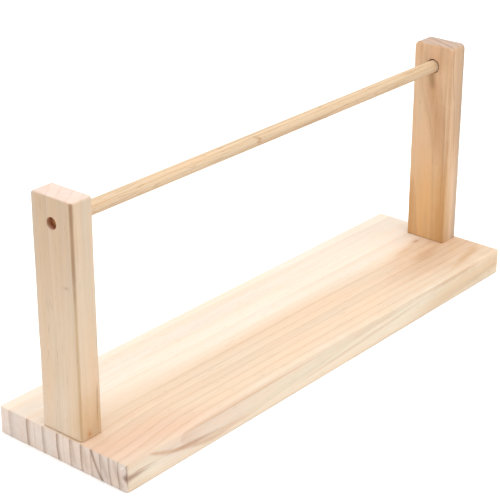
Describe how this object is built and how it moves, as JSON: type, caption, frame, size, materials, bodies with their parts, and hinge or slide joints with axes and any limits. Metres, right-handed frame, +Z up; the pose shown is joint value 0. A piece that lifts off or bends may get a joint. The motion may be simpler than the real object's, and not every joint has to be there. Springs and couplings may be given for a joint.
{
  "type": "ribbon storage rack",
  "caption": "Pine table-top rack: an upright post at each end of a flat board holds a loose rod that spools of ribbon hang on.",
  "frame": {"origin": "middle of the base board's underside", "axes": "+X along the board towards the post that the rod is drawn out through, +Y from front to back across the board, +Z up"},
  "size_m": [0.366, 0.1, 0.157],
  "materials": {
    "board_pine": "sanded bare pine, cream sapwood running into peach heartwood",
    "post_pine": "sanded bare pine, beige to tan",
    "rod_pine": "turned bare softwood with fine dark flecks",
    "screw_steel": "zinc-plated wood screw"
  },
  "bodies": {
    "frame": {"base_board": "board_pine", "left_post": "post_pine", "right_post": "post_pine", "left_front_screw": "screw_steel", "left_back_screw": "screw_steel", "right_front_screw": "screw_steel", "right_back_screw": "screw_steel"},
    "rod": {"rod": "rod_pine"}
  },
  "joints": [
    {"name": "rod_slide", "type": "slide", "parent": "frame", "child": "rod", "axis": [1, 0, 0], "range_m": [0, 0.36]}
  ]
}
